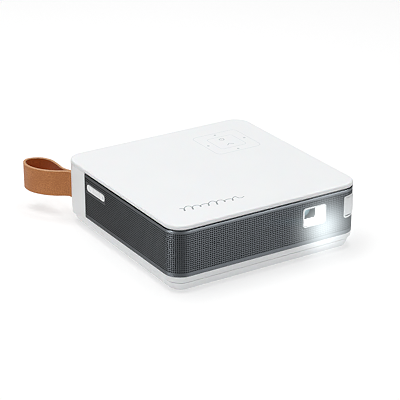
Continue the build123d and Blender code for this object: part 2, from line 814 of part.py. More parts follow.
# ------------------------------------------------------------ light engine
engine_left = cradle_left
engine_right = lens_x + 17.0
engine_front = cradle_back + 2.0
engine_back = engine_front + 50.0
engine_top = lens_height + 9.0
engine_wall = 2.0
combiner_y = engine_back - 17.0
with BuildPart() as engine_housing:
    add(block((engine_left, engine_front, floor_top), (engine_right, engine_back, engine_top)))
    add(
        block(
            (engine_left + engine_wall, engine_front + engine_wall, engine_floor),
            (engine_right - engine_wall, engine_back - engine_wall, engine_top + 1),
        ),
        mode=Mode.SUBTRACT,
    )
    add(lens_tube(barrel_bore, engine_front - 1, engine_front + 5), mode=Mode.SUBTRACT)
    with BuildSketch(Plane.XZ.offset(-engine_back - 1)):
        with Locations((lens_x, lens_height)):
            Rectangle(14, 14)
    extrude(amount=5, mode=Mode.SUBTRACT)
    with BuildSketch(Plane.YZ.offset(engine_left - 1)):
        with Locations((combiner_y, lens_height)):
            Rectangle(14, 14)
    extrude(amount=engine_right - engine_left + 2, mode=Mode.SUBTRACT)
    with BuildSketch(Plane.YZ.offset(engine_right - 5)):
        with Locations((engine_front + 13, lens_height)):
            Rectangle(14, 11)
    extrude(amount=10, mode=Mode.SUBTRACT)
save(engine_housing.part, "engine_housing")

save(
    block((engine_left, engine_front, engine_top), (engine_right, engine_back, engine_top + 1.5)),
    "engine_lid",
)


def led_module(mouth, out):
    """A light source whose dome points back into the housing, on a wall at mouth."""
    with BuildPart() as module:
        with BuildSketch(Plane(mouth, z_dir=out)):
            RectangleRounded(20, 20, 1.5)
        extrude(amount=1.6)
        with BuildSketch(Plane(mouth, z_dir=out)):
            Circle(4.5)
        extrude(amount=-2.5)
    return module.part


save(led_module((engine_left, combiner_y, lens_height), (-1, 0, 0)), "led_red")
save(led_module((lens_x, engine_back, lens_height), (0, 1, 0)), "led_green")
save(led_module((engine_right, combiner_y, lens_height), (1, 0, 0)), "led_blue")

glass_cube = 12.0
cube_bottom = lens_height - glass_cube / 2
save(
    block(
        (lens_x - glass_cube / 2, combiner_y - glass_cube / 2, cube_bottom),
        (lens_x + glass_cube / 2, combiner_y + glass_cube / 2, cube_bottom + glass_cube),
    ),
    "color_combiner",
)
save(
    block(
        (lens_x - 9, engine_front + engine_wall, engine_floor),
        (lens_x + 9, combiner_y + glass_cube / 2, cube_bottom),
    ),
    "optics_base",
)
save(lens_tube(5.8, combiner_y - glass_cube / 2 - 4, combiner_y - glass_cube / 2), "relay_lens")
with BuildPart() as tir_prism:
    with BuildSketch(Plane.XY.offset(cube_bottom)):
        with Locations((lens_x, engine_front + 13)):
            Rectangle(glass_cube, glass_cube)
    extrude(amount=glass_cube)
save(tir_prism.part, "tir_prism")
save(
    block(
        (engine_right - 5, engine_front + 6, lens_height - 5.5),
        (engine_right + 1.5, engine_front + 20, lens_height + 5.5),
    ),
    "image_chip",
)

# ------------------------------------------------------------ cooling
sink_front = half_depth - 21.0
sink_back = half_depth - 5.0
sink_left = lens_x - 18.0
sink_right = lens_x + 25.0
sink_base = floor_top + 8.0
sink_top = fan_level + fan_size / 2
pipe_radius = 2.5
pipe_x = sink_left + 4.0
pipe_y = engine_back + 1.6 + 4.0
pipe_level = floor_top + 4.5
with BuildPart() as heat_sink:
    add(block((sink_left, sink_front, floor_top), (sink_right, sink_back, sink_base)))
    with BuildSketch(Plane.XY.offset(sink_base)):
        with Locations(((sink_left + sink_right) / 2, (sink_front + sink_back) / 2)):
            with GridLocations(2.8, 0, 15, 1):
                Rectangle(0.8, sink_back - sink_front)
    extrude(amount=sink_top - sink_base)
    with BuildSketch(Plane.XZ.offset(-sink_front + 1)):
        with Locations((pipe_x, pipe_level)):
            Circle(pipe_radius)
    extrude(amount=-20, mode=Mode.SUBTRACT)
save(heat_sink.part, "heat_sink")

with BuildPart() as heat_spreader:
    add(
        block(
            (lens_x - 8, engine_back + 1.6, floor_top),
            (lens_x + 10, engine_back + 7.6, lens_height + 8),
        )
    )
    with BuildSketch(Plane.YZ.offset(lens_x - 12)):
        with Locations((pipe_y, pipe_level)):
            Circle(pipe_radius)
    extrude(amount=20, mode=Mode.SUBTRACT)
save(heat_spreader.part, "heat_spreader")

with BuildPart() as heat_pipe:
    with BuildLine() as pipe_path:
        FilletPolyline(
            (lens_x + 6, pipe_y, pipe_level),
            (pipe_x, pipe_y, pipe_level),
            (pipe_x, sink_back - 1, pipe_level),
            radius=6,
        )
    with BuildSketch(Plane(origin=(lens_x + 6, pipe_y, pipe_level), z_dir=(-1, 0, 0))):
        Circle(pipe_radius)
    sweep(path=pipe_path.line)
save(heat_pipe.part, "heat_pipe")

fan_hub = 6.0
fan_bore = fan_size / 2 - 1.2
with BuildPart() as fan_housing:
    with BuildSketch(Plane.XZ.offset(-fan_y + fan_depth / 2)):
        with Locations((fan_x, fan_level)):
            RectangleRounded(fan_size, fan_size, 2)
            Circle(fan_bore, mode=Mode.SUBTRACT)
    extrude(amount=-fan_depth)
    with BuildSketch(Plane.XZ.offset(-fan_y - fan_depth / 2)):
        with Locations((fan_x, fan_level)):
            Circle(fan_hub)
            with PolarLocations(0, 3):
                with Locations((fan_size / 4, 0)):
                    Rectangle(fan_size / 2 - 0.6, 1.6)
            Circle(1.05, mode=Mode.SUBTRACT)
    extrude(amount=1.6)
save(fan_housing.part, "fan_housing")

with BuildPart() as fan_rotor:
    with BuildSketch(Plane.XZ.offset(-fan_y + fan_depth / 2 - 0.4)):
        with Locations((fan_x, fan_level)):
            Circle(fan_hub)
    extrude(amount=-(fan_depth - 2.6))
    with BuildSketch(Plane.XZ.offset(-fan_y)):
        with Locations((fan_x, fan_level)):
            Circle(1.0)
    extrude(amount=-fan_depth / 2)
    for index in range(7):
        turn = index * 2 * pi / 7
        radial = (cos(turn), 0, sin(turn))
        with BuildSketch(Plane((fan_x, fan_y - 0.7, fan_level), x_dir=(0, 1, 0), z_dir=radial)):
            Rectangle(7.4, 0.8, rotation=38)
        extrude(amount=fan_bore - 0.6)
save(fan_rotor.part, "fan_rotor")

# ------------------------------------------------------------ battery
cell_left = -half_width + 16.0
cell_pitch = 2 * cell_radius + 0.4
cell_level = floor_top + 1.2 + cell_radius
cell_front = -half_depth + 23.5
with BuildPart() as battery_cells:
    with BuildSketch(Plane.YZ.offset(cell_left)):
        with Locations((cell_front + cell_pitch * (cell_count - 1) / 2, cell_level)):
            with GridLocations(cell_pitch, 0, cell_count, 1):
                Circle(cell_radius)
    extrude(amount=cell_length)
save(battery_cells.part, "battery_cells")

tray_front = cell_front - cell_radius - 0.6
tray_back = cell_front + cell_pitch * (cell_count - 1) + cell_radius + 0.6
with BuildPart() as battery_tray:
    add(
        block(
            (cell_left - 1.6, tray_front, floor_top),
            (cell_left + cell_length + 1.6, tray_back, cell_level),
        )
    )
    with BuildSketch(Plane.YZ.offset(cell_left)):
        with Locations((cell_front + cell_pitch * (cell_count - 1) / 2, cell_level)):
            with GridLocations(cell_pitch, 0, cell_count, 1):
                Circle(cell_radius)
    extrude(amount=cell_length, mode=Mode.SUBTRACT)
save(battery_tray.part, "battery_tray")

# ------------------------------------------------------------ speaker
speaker_x = -half_width + 41.0
speaker_front = -half_depth + 4.4
speaker_half = 18.0
speaker_depth = 9.0
speaker_top = 36.0
cone_length = 30.0
cone_width = 18.0
cone_level = 24.0
cone_seat = 5.0
cone_rim = 2.0
with BuildPart() as speaker_box:
    add(
        block(
            (speaker_x - speaker_half, speaker_front, floor_top),
            (speaker_x + speaker_half, speaker_front + speaker_depth, speaker_top),
        )
    )
    with BuildSketch(Plane.XZ.offset(-speaker_front)):
        with Locations((speaker_x, cone_level)):
            SlotOverall(cone_length, cone_width)
    extrude(amount=-cone_seat, mode=Mode.SUBTRACT)
save(speaker_box.part, "speaker_box")

with BuildPart() as speaker_cone:
    with BuildSketch(Plane.XZ.offset(-speaker_front)):
        with Locations((speaker_x, cone_level)):
            SlotOverall(cone_length, cone_width)
    extrude(amount=-cone_seat)
    with BuildSketch(Plane.XZ.offset(-speaker_front)):
        with Locations((speaker_x, cone_level)):
            SlotOverall(cone_length - 2 * cone_rim, cone_width - 2 * cone_rim)
    extrude(amount=-3.4, taper=25, mode=Mode.SUBTRACT)
save(speaker_cone.part, "speaker_cone")

# ------------------------------------------------------------ boards
with BuildPart() as main_board:
    add(block((board_left, board_front, board_level), (board_right, half_depth - 4.0, board_top)))
    with BuildSketch(Plane.XY.offset(board_level)):
        with Locations(*board_pillars):
            Circle(board_screw + 0.2)
    extrude(amount=board_thickness, mode=Mode.SUBTRACT)
save(main_board.part, "main_board")

with BuildPart() as board_screws:
    with BuildSketch(Plane.XY.offset(board_level - 2.5)):
        with Locations(*board_pillars):
            Circle(board_screw)
    extrude(amount=board_thickness + 2.5)
    with BuildSketch(Plane.XY.offset(board_top)):
        with Locations(*board_pillars):
            Circle(board_screw + 1)
    extrude(amount=1.2)
save(board_screws.part, "board_screws")

processor_left = board_left + 18.0
processor_side = 20.0
wireless_left = board_left + 44.0
modules_front = board_front + 10.0
save(
    block(
        (processor_left, modules_front, board_top),
        (processor_left + processor_side, modules_front + processor_side, board_top + 3),
    ),
    "processor_shield",
)
save(
    block(
        (wireless_left, modules_front, board_top),
        (wireless_left + 12, modules_front + 16, board_top + 2),
    ),
    "wireless_module",
)

touch_y = half_depth - 37.5
touch_width = 38.0
touch_depth = 36.0
touch_board = block(
    (lens_x - touch_width / 2, touch_y - touch_depth / 2, cover_under - 1.0),
    (lens_x + touch_width / 2, touch_y + touch_depth / 2, cover_under),
)
save(touch_board, "touch_board")

# ------------------------------------------------------------ power button
flange_x = -half_width + screen_inset + 0.2
stem_end = flange_x + 2.4
light_y = button_y - button_length / 2 + 2.2
light_height = 1.9
light_width = 1.1
with BuildPart() as power_button:
    add(pill(button_length, button_height, -half_width, flange_x + 1))
    fillet(power_button.faces().sort_by(Axis.X)[0].edges(), radius=0.4)
    add(pill(button_length + 2 * button_flange, button_height + 2 * button_flange, flange_x, flange_x + 1))
    add(block((flange_x, button_y - 1.5, button_level - 1.5), (stem_end, button_y + 1.5, button_level + 1.5)))
    with BuildSketch(Plane.YZ.offset(-half_width - 1)):
        with Locations((light_y, button_level)):
            SlotOverall(light_height, light_width, rotation=90)
    extrude(amount=3, mode=Mode.SUBTRACT)
save(power_button.part, "power_button")

with BuildPart() as status_light:
    with BuildSketch(Plane.YZ.offset(-half_width + 0.15)):
        with Locations((light_y, button_level)):
            SlotOverall(light_height, light_width, rotation=90)
    extrude(amount=1.85)
save(status_light.part, "status_light")

switch_x = stem_end + button_travel + 0.15
with BuildPart() as power_switch:
    add(
        block(
            (switch_x + 0.6, button_y - 3, button_level - 3),
            (switch_x + 2.6, button_y + 3, button_level + 3),
        )
    )
    with BuildSketch(Plane.YZ.offset(switch_x)):
        with Locations((button_y, button_level)):
            Circle(1.6)
    extrude(amount=0.6)
save(power_switch.part, "power_switch")

save(
    block(
        (switch_x + 2.6, button_y - 8, floor_top),
        (switch_x + 4.0, button_y + 8, button_level + 5),
    ),
    "switch_board",
)
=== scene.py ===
import json
import math

import bmesh
import bpy
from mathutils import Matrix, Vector
from mathutils.geometry import tessellate_polygon


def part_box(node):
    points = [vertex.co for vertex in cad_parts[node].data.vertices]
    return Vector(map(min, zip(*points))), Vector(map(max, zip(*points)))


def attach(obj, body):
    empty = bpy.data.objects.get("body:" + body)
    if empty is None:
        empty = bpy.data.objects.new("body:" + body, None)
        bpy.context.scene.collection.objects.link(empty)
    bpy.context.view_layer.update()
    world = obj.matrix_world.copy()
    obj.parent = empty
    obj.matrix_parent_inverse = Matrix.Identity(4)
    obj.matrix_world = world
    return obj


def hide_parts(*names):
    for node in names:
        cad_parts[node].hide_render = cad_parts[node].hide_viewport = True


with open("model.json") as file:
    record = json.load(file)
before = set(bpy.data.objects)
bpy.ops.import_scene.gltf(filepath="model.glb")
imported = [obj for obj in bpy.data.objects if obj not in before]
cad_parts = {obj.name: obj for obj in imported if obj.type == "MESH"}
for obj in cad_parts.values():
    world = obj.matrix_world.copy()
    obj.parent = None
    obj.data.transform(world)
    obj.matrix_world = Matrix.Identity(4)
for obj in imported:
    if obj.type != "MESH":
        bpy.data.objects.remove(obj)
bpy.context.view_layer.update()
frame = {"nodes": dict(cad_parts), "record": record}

MM = 0.001
scene = bpy.context.scene
nodes = frame["nodes"]

# ------------------------------------------------------------------ camera
camera = bpy.data.objects.new("camera", bpy.data.cameras.new("camera"))
scene.collection.objects.link(camera)
camera.data.sensor_width = 36
camera.data.lens = 145.8
camera.data.clip_end = 60  # beyond the far edge of the floor
camera.location = Vector((-548.44, -862.02, 465.26)) * MM
aim = Vector((-4.14, 5.67, 22.87)) * MM
camera.rotation_euler = (aim - camera.location).to_track_quat("-Z", "Y").to_euler()
scene.camera = camera

# ------------------------------------------------------------------ colours and nodes


def linear(code):
    """An sRGB hex colour as the linear colour that a shader takes."""
    parts = [int(code[i : i + 2], 16) / 255 for i in (1, 3, 5)]
    return [p / 12.92 if p <= 0.04045 else ((p + 0.055) / 1.055) ** 2.4 for p in parts] + [1.0]


def per(size):
    """How many features of a size in mm fit in a metre, which is a texture's scale."""
    return 1 / (size * MM)


def node(owner, kind, output, inputs, **settings):
    """Adds a node, with its settings and links, to a material or to the scene's treatment of
    the picture, and gives back one of its outputs."""
    family = "CompositorNode" if owner == scene else "ShaderNode"
    made = owner.node_tree.nodes.new(family + kind)
    for name, value in settings.items():
        setattr(made, name, value)
    for name, source in inputs.items():
        if isinstance(source, bpy.types.NodeSocket):
            owner.node_tree.links.new(source, made.inputs[name])
        else:
            made.inputs[name].default_value = source
    return made.outputs[output] if output else None


def bare(name):
    """A new material with no nodes yet, and the coordinates that its patterns follow."""
    material = bpy.data.materials.new(name)
    material.use_nodes = True
    material.node_tree.nodes.clear()
    return material, node(material, "TexCoord", "Object", {})


def finished(material, sockets):
    """Gives a material its surface shader."""
    surface = node(material, "BsdfPrincipled", "BSDF", sockets)
    node(material, "OutputMaterial", None, {"Surface": surface})
    return material


# ------------------------------------------------------------------ materials


def moulded_abs(name, low, high, roughness, grain, depth, body=None):
    """Injection-moulded ABS from a spark-eroded tool: the fine matt grain of the tool softens
    every highlight, and slow flow clouds keep a wide white face from looking drawn. The body
    is what a pale plastic adds: a little light that travels inside it."""
    abs_plastic, place = bare(name)
    erosion = node(
        abs_plastic, "TexNoise", "Fac", {"Vector": place, "Scale": per(grain), "Detail": 4.0}
    )
    flow = node(abs_plastic, "TexNoise", "Fac", {"Vector": place, "Scale": per(35)})
    colour = node(
        abs_plastic,
        "Mix",
        "Result",
        {"Factor": flow, "A": linear(low), "B": linear(high)},
        data_type="RGBA",
    )
    gloss = node(
        abs_plastic,
        "MapRange",
        "Result",
        {
            "Value": erosion,
            "From Min": 0.3,
            "From Max": 0.7,
            "To Min": roughness * 0.85,
            "To Max": roughness * 1.15,
        },
    )
    bump = node(
        abs_plastic, "Bump", "Normal", {"Height": erosion, "Strength": 0.5, "Distance": depth * MM}
    )
    surface = {"Base Color": colour, "Roughness": gloss, "Normal": bump}
    return finished(abs_plastic, {**surface, **(body or {})})


def polished_abs():
    """ABS from a polished tool, for the parts that fingers meet: smoother and glossier than the
    case, with faint handling haze and the shallow sink ripples of a thick moulding."""
    trim, place = bare("polished_white_abs")
    haze = node(trim, "TexNoise", "Fac", {"Vector": place, "Scale": per(6), "Detail": 5.0})
    sink = node(trim, "TexNoise", "Fac", {"Vector": place, "Scale": per(2.5)})
    colour = node(
        trim,
        "Mix",
        "Result",
        {"Factor": haze, "A": linear("#eceeef"), "B": linear("#f2f3f4")},
        data_type="RGBA",
    )
    gloss = node(trim, "MapRange", "Result", {"Value": haze, "To Min": 0.16, "To Max": 0.36})
    bump = node(
        trim, "Bump", "Normal", {"Height": sink, "Strength": 0.4, "Distance": 0.01 * MM}
    )
    surface = {"Base Color": colour, "Roughness": gloss, "Normal": bump}
    return finished(trim, {**surface, "Coat Weight": 0.25, "Coat Roughness": 0.08})


def powder_coated_steel():
    """Punched sheet steel under a thin satin powder coat: dark grey with metal flake that lifts
    the highlights, and fine orange peel that breaks them up."""
    sheet, place = bare("powder_coated_steel")
    peel = node(sheet, "TexNoise", "Fac", {"Vector": place, "Scale": per(0.7), "Detail": 3.0})
    batch = node(sheet, "TexNoise", "Fac", {"Vector": place, "Scale": per(20)})
    colour = node(
        sheet,
        "Mix",
        "Result",
        {"Factor": batch, "A": linear("#3c3f42"), "B": linear("#434649")},
        data_type="RGBA",
    )
    gloss = node(sheet, "MapRange", "Result", {"Value": peel, "To Min": 0.34, "To Max": 0.46})
    bump = node(
        sheet, "Bump", "Normal", {"Height": peel, "Strength": 0.5, "Distance": 0.015 * MM}
    )
    surface = {"Base Color": colour, "Roughness": gloss, "Normal": bump, "Metallic": 0.95}
    return finished(sheet, surface)


def woven_dust_cloth():
    """Black polyester dust cloth behind the grille: a plain weave that swallows the light.
    Its 0.3 mm threads are drawn four times coarser, so that the weave can show at all."""
    cloth, place = bare("woven_dust_cloth")
    thread = 1.2
    warp = node(
        cloth,
        "TexWave",
        "Fac",
        {"Vector": place, "Scale": per(thread) / (2 * math.pi)},
        bands_direction="DIAGONAL",
    )
    weft = node(
        cloth,
        "TexWave",
        "Fac",
        {"Vector": place, "Scale": per(thread) / (2 * math.pi)},
        bands_direction="Z",
    )
    weave = node(cloth, "Math", "Value", {0: warp, 1: weft}, operation="MULTIPLY")
    colour = node(
        cloth,
        "Mix",
        "Result",
        {"Factor": weave, "A": linear("#070708"), "B": linear("#131416")},
        data_type="RGBA",
    )
    gloss = node(cloth, "MapRange", "Result", {"Value": weave, "To Min": 0.95, "To Max": 0.8})
    bump = node(
        cloth, "Bump", "Normal", {"Height": weave, "Strength": 0.8, "Distance": 0.1 * MM}
    )
    surface = {"Base Color": colour, "Roughness": gloss, "Normal": bump}
    return finished(cloth, {**surface, "Specular IOR Level": 0.2, "Sheen Weight": 0.1})


def moulded_rubber(name, low, high):
    """Moulded rubber: matt and slightly porous, greyed in patches by its own bloom."""
    rubber, place = bare(name)
    bloom = node(rubber, "TexNoise", "Fac", {"Vector": place, "Scale": per(4), "Detail": 6.0})
    pores = node(rubber, "TexNoise", "Fac", {"Vector": place, "Scale": per(0.6)})
    colour = node(
        rubber,
        "Mix",
        "Result",
        {"Factor": bloom, "A": linear(low), "B": linear(high)},
        data_type="RGBA",
    )
    gloss = node(rubber, "MapRange", "Result", {"Value": bloom, "To Min": 0.65, "To Max": 0.95})
    bump = node(
        rubber, "Bump", "Normal", {"Height": pores, "Strength": 0.6, "Distance": 0.03 * MM}
    )
    surface = {"Base Color": colour, "Roughness": gloss, "Normal": bump}
    return finished(rubber, {**surface, "Specular IOR Level": 0.3})


def tanned_leather(name, low, high, pebble, depth, roughness):
    """Vegetable-tanned leather: dye that wanders over pebbled grain; the colour is darker in the
    creases between the pebbles, and fine pores lie on top."""
    leather, place = bare(name)
    dye = node(leather, "TexNoise", "Fac", {"Vector": place, "Scale": per(10), "Detail": 5.0})
    pores = node(leather, "TexNoise", "Fac", {"Vector": place, "Scale": per(pebble / 3)})
    cells = node(
        leather,
        "TexVoronoi",
        "Distance",
        {"Vector": place, "Scale": per(pebble)},
        feature="DISTANCE_TO_EDGE",
    )
    pebbles = node(leather, "MapRange", "Result", {"Value": cells, "From Max": 0.22})
    crown = node(leather, "Math", "Value", {0: pebbles, 1: dye}, operation="MULTIPLY")
    tone = node(leather, "MapRange", "Result", {"Value": crown, "From Min": 0.1, "From Max": 0.6})
    colour = node(
        leather,
        "Mix",
        "Result",
        {"Factor": tone, "A": linear(low), "B": linear(high)},
        data_type="RGBA",
    )
    gloss = node(
        leather,
        "MapRange",
        "Result",
        {"Value": pores, "To Min": roughness - 0.15, "To Max": roughness + 0.15},
    )
    height = node(leather, "Math", "Value", {0: pebbles, 1: pores}, operation="ADD")
    bump = node(
        leather, "Bump", "Normal", {"Height": height, "Strength": 0.6, "Distance": depth * MM}
    )
    surface = {"Base Color": colour, "Roughness": gloss, "Normal": bump}
    return finished(leather, {**surface, "Specular IOR Level": 0.35, "Sheen Weight": 0.1})


def worked_metal(name, low, high, roughness, marks, squeeze):
    """Bare metal: tool or rolling marks, squeezed along the way it was worked, stretch its
    highlights across them, and a slight tarnish varies its colour."""
    metal, place = bare(name)
    along_marks = node(metal, "Mapping", "Vector", {"Vector": place, "Scale": squeeze})
    lines = node(
        metal, "TexNoise", "Fac", {"Vector": along_marks, "Scale": per(marks), "Detail": 4.0}
    )
    tarnish = node(metal, "TexNoise", "Fac", {"Vector": place, "Scale": per(7), "Detail": 4.0})
    colour = node(
        metal,
        "Mix",
        "Result",
        {"Factor": tarnish, "A": linear(low), "B": linear(high)},
        data_type="RGBA",
    )
    gloss = node(
        metal,
        "MapRange",
        "Result",
        {"Value": lines, "To Min": roughness * 0.7, "To Max": roughness * 1.3},
    )
    bump = node(
        metal, "Bump", "Normal", {"Height": lines, "Strength": 0.5, "Distance": 0.012 * MM}
    )
    surface = {"Base Color": colour, "Roughness": gloss, "Normal": bump, "Metallic": 1.0}
    return finished(metal, surface)


def coated_glass(name, low, high):
    """Optical glass with an anti-reflection coating: clear, with blue-green reflections and a
    little dust that dulls them."""
    glass, place = bare(name)
    dust = node(glass, "TexNoise", "Fac", {"Vector": place, "Scale": per(2), "Detail": 4.0})
    colour = node(
        glass,
        "Mix",
        "Result",
        {"Factor": dust, "A": linear(low), "B": linear(high)},
        data_type="RGBA",
    )
    gloss = node(glass, "MapRange", "Result", {"Value": dust, "To Min": 0.0, "To Max": 0.06})
    surface = {"Base Color": colour, "Roughness": gloss, "IOR": 1.52, "Transmission Weight": 1.0}
    return finished(glass, {**surface, "Coat Weight": 0.5, "Coat Tint": linear("#9fe3f0")})


def glowing_lens_glass():
    """The front lens while it projects: glass whose middle glows with painted cool white light,
    fading to a faint painted blue-green glow at its edge, under a blue-green coating."""
    glass, place = bare("glowing_lens_glass")
    low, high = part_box("front_lens")
    centre = [(a + b) / 2 for a, b in zip(low, high)]
    radius = (high[0] - low[0]) / 2
    away = node(glass, "VectorMath", "Vector", {0: place, 1: centre}, operation="SUBTRACT")
    flat = node(glass, "VectorMath", "Vector", {0: away, 1: (1, 0, 1)}, operation="MULTIPLY")
    reach = node(glass, "VectorMath", "Value", {0: flat}, operation="LENGTH")
    edge = node(
        glass,
        "MapRange",
        "Result",
        {"Value": reach, "From Min": radius * 0.3, "From Max": radius},
    )
    smear = node(glass, "TexNoise", "Fac", {"Vector": place, "Scale": per(1.5), "Detail": 3.0})
    colour = node(
        glass,
        "Mix",
        "Result",
        {"Factor": smear, "A": linear("#2c3538"), "B": linear("#3a464b")},
        data_type="RGBA",
    )
    # The emission is painted light: cool white in the middle, a faint blue-green glow at the edge.
    light = node(
        glass,
        "Mix",
        "Result",
        {"Factor": edge, "A": linear("#f2fdff"), "B": linear("#2c3c42")},
        data_type="RGBA",
    )
    gloss = node(glass, "MapRange", "Result", {"Value": smear, "To Min": 0.02, "To Max": 0.08})
    surface = {"Base Color": colour, "Roughness": gloss, "IOR": 1.52, "Emission Color": light}
    surface.update({"Emission Strength": 0.5, "Coat Weight": 0.4, "Coat Tint": linear("#9fe3f0")})
    return finished(glass, surface)


def smoked_acrylic():
    """The infrared window: polished acrylic that looks black, with a deep red cast."""
    acrylic, place = bare("smoked_acrylic")
    cloud = node(acrylic, "TexNoise", "Fac", {"Vector": place, "Scale": per(3)})
    colour = node(
        acrylic,
        "Mix",
        "Result",
        {"Factor": cloud, "A": linear("#120306"), "B": linear("#1d060b")},
        data_type="RGBA",
    )
    gloss = node(acrylic, "MapRange", "Result", {"Value": cloud, "To Min": 0.04, "To Max": 0.1})
    return finished(acrylic, {"Base Color": colour, "Roughness": gloss, "Coat Weight": 0.8})


def frosted_polycarbonate():
    """The status light's guide: frosted polycarbonate, greyish when it is barely lit."""
    guide, place = bare("frosted_polycarbonate")
    frost = node(guide, "TexNoise", "Fac", {"Vector": place, "Scale": per(0.3)})
    colour = node(
        guide,
        "Mix",
        "Result",
        {"Factor": frost, "A": linear("#a9b0b4"), "B": linear("#bcc3c6")},
        data_type="RGBA",
    )
    gloss = node(guide, "MapRange", "Result", {"Value": frost, "To Min": 0.3, "To Max": 0.5})
    bump = node(
        guide, "Bump", "Normal", {"Height": frost, "Strength": 0.5, "Distance": 0.02 * MM}
    )
    surface = {"Base Color": colour, "Roughness": gloss, "Normal": bump}
    surface.update({"Emission Color": linear("#dff2f6"), "Emission Strength": 0.1})
    return finished(guide, surface)


def solder_mask():
    """Fibreglass circuit board: glossy green mask, raised and lighter over the copper tracks."""
    board, place = bare("solder_mask")
    tracks = node(
        board,
        "TexBrick",
        "Fac",
        {"Vector": place, "Scale": per(6), "Mortar Size": 0.06, "Mortar Smooth": 0.2},
    )
    cloud = node(board, "TexNoise", "Fac", {"Vector": place, "Scale": per(5)})
    colour = node(
        board,
        "Mix",
        "Result",
        {"Factor": tracks, "A": linear("#0c3d22"), "B": linear("#1d6a3c")},
        data_type="RGBA",
    )
    gloss = node(board, "MapRange", "Result", {"Value": cloud, "To Min": 0.2, "To Max": 0.4})
    bump = node(
        board, "Bump", "Normal", {"Height": tracks, "Strength": 0.6, "Distance": 0.04 * MM}
    )
    surface = {"Base Color": colour, "Roughness": gloss, "Normal": bump}
    return finished(board, {**surface, "Coat Weight": 0.4})


def shrink_film():
    """The cells' blue shrink film: thin glossy plastic with slight puckers."""
    film, place = bare("shrink_film")
    pucker = node(film, "TexNoise", "Fac", {"Vector": place, "Scale": per(3), "Detail": 3.0})
    colour = node(
        film,
        "Mix",
        "Result",
        {"Factor": pucker, "A": linear("#1d4f86"), "B": linear("#2a66a3")},
        data_type="RGBA",
    )
    gloss = node(film, "MapRange", "Result", {"Value": pucker, "To Min": 0.12, "To Max": 0.3})
    bump = node(
        film, "Bump", "Normal", {"Height": pucker, "Strength": 0.6, "Distance": 0.08 * MM}
    )
    surface = {"Base Color": colour, "Roughness": gloss, "Normal": bump}
    return finished(film, {**surface, "Coat Weight": 0.5})


def printed_ink(name, low, high):
    """Pad-printed ink: an even, matt film with the faint mottle of the pad."""
    ink, place = bare(name)
    mottle = node(ink, "TexNoise", "Fac", {"Vector": place, "Scale": per(0.8), "Detail": 3.0})
    colour = node(
        ink,
        "Mix",
        "Result",
        {"Factor": mottle, "A": linear(low), "B": linear(high)},
        data_type="RGBA",
    )
    gloss = node(ink, "MapRange", "Result", {"Value": mottle, "To Min": 0.5, "To Max": 0.7})
    return finished(ink, {"Base Color": colour, "Roughness": gloss, "Specular IOR Level": 0.3})


milky = {"Subsurface Weight": 0.05, "Subsurface Scale": 1 * MM}
finish = {
    "white_case": moulded_abs("white_abs", "#eceeef", "#f0f1f2", 0.42, 0.5, 0.015, milky),
    "white_trim": polished_abs(),
    "grille_metal": powder_coated_steel(),
    "black_cloth": woven_dust_cloth(),
    # The gasket ring's grey is painted shade: it stands in for the shade in the gap between the top
    # cover and the grille.
    "dark_gasket": moulded_rubber("gap_shade_rubber", "#888c90", "#94989c"),
    "feet_rubber": moulded_rubber("foot_rubber", "#26282a", "#33363a"),
    "strap_leather": tanned_leather("grain_leather", "#b5703c", "#ca854c", 1.1, 0.1, 0.6),
    "brass": worked_metal("turned_brass", "#b98b45", "#d8ae62", 0.25, 0.5, (1, 1, 6)),
    "steel": worked_metal("ground_steel", "#8d9093", "#a9acae", 0.32, 0.4, (1, 1, 5)),
    "plated_steel": worked_metal("nickel_plate", "#b9babb", "#d3d4d4", 0.22, 0.8, (1, 5, 1)),
    "black_plastic": moulded_abs("black_abs", "#0f1011", "#191a1c", 0.5, 0.6, 0.02),
    "optical_glass": coated_glass("optical_glass", "#dceef2", "#f4fbfc"),
    "lens_glass": glowing_lens_glass(),
    "ir_plastic": smoked_acrylic(),
    "status_led": frosted_polycarbonate(),
    "cast_aluminium": worked_metal("cast_aluminium", "#8f9193", "#a7a9ab", 0.5, 1.2, (1, 1, 1)),
    "fin_aluminium": worked_metal("drawn_aluminium", "#b7b9ba", "#cbcdce", 0.3, 0.6, (1, 1, 8)),
    "copper": worked_metal("drawn_copper", "#b8693f", "#d08a5c", 0.28, 0.6, (1, 4, 1)),
    "circuit_board": solder_mask(),
    "cell_wrap": shrink_film(),
}
flesh_side = tanned_leather("flesh_side_leather", "#a84b0f", "#bd5f1a", 0.7, 0.15, 0.8)
# The edges' lighter colour is a painted highlight along the strap's rims; they are also a little
# glossier.
edge_highlight_leather = tanned_leather("leather_edge_painted_highlight", "#c08a60", "#d6a981", 0.8, 0.04, 0.45)
grey_ink = printed_ink("grey_ink", "#a4aaac", "#b0b6b8")
pale_ink = printed_ink("pale_ink", "#d8dddf", "#e0e4e6")
mid_ink = printed_ink("mid_ink", "#b9bfc1", "#c4cacc")

for part in frame["record"]["subparts"]:
    nodes[part["node"]].data.materials[0] = finish[part["material_slot"]]

# ------------------------------------------------------------------ making pieces


def linked(name, data):
    """A new object in the scene, with its mesh or light."""
    made = bpy.data.objects.new(name, data)
    scene.collection.objects.link(made)
    return made


def piece(name, vertices, faces, materials, body, smooth=None):
    """A mesh piece that rides on a body. Each face is its corners, and its material's number
    where it isn't 0; smooth is the angle in degrees up to which it shades smooth."""
    mesh = bpy.data.meshes.new(name)
    sorted_faces = [face if isinstance(face[0], tuple) else (face, 0) for face in faces]
    mesh.from_pydata(vertices, [], [corners for corners, _ in sorted_faces])
    for material in materials:
        mesh.materials.append(material)
    for polygon, (_, number) in zip(mesh.polygons, sorted_faces):
        polygon.material_index = number
    outward = bmesh.new()
    outward.from_mesh(mesh)
    bmesh.ops.recalc_face_normals(outward, faces=outward.faces)
    outward.to_mesh(mesh)
    outward.free()
    if smooth:
        mesh.shade_smooth()
        mesh.set_sharp_from_angle(angle=math.radians(smooth))
    made = linked(name, mesh)
    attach(made, body)
    return made


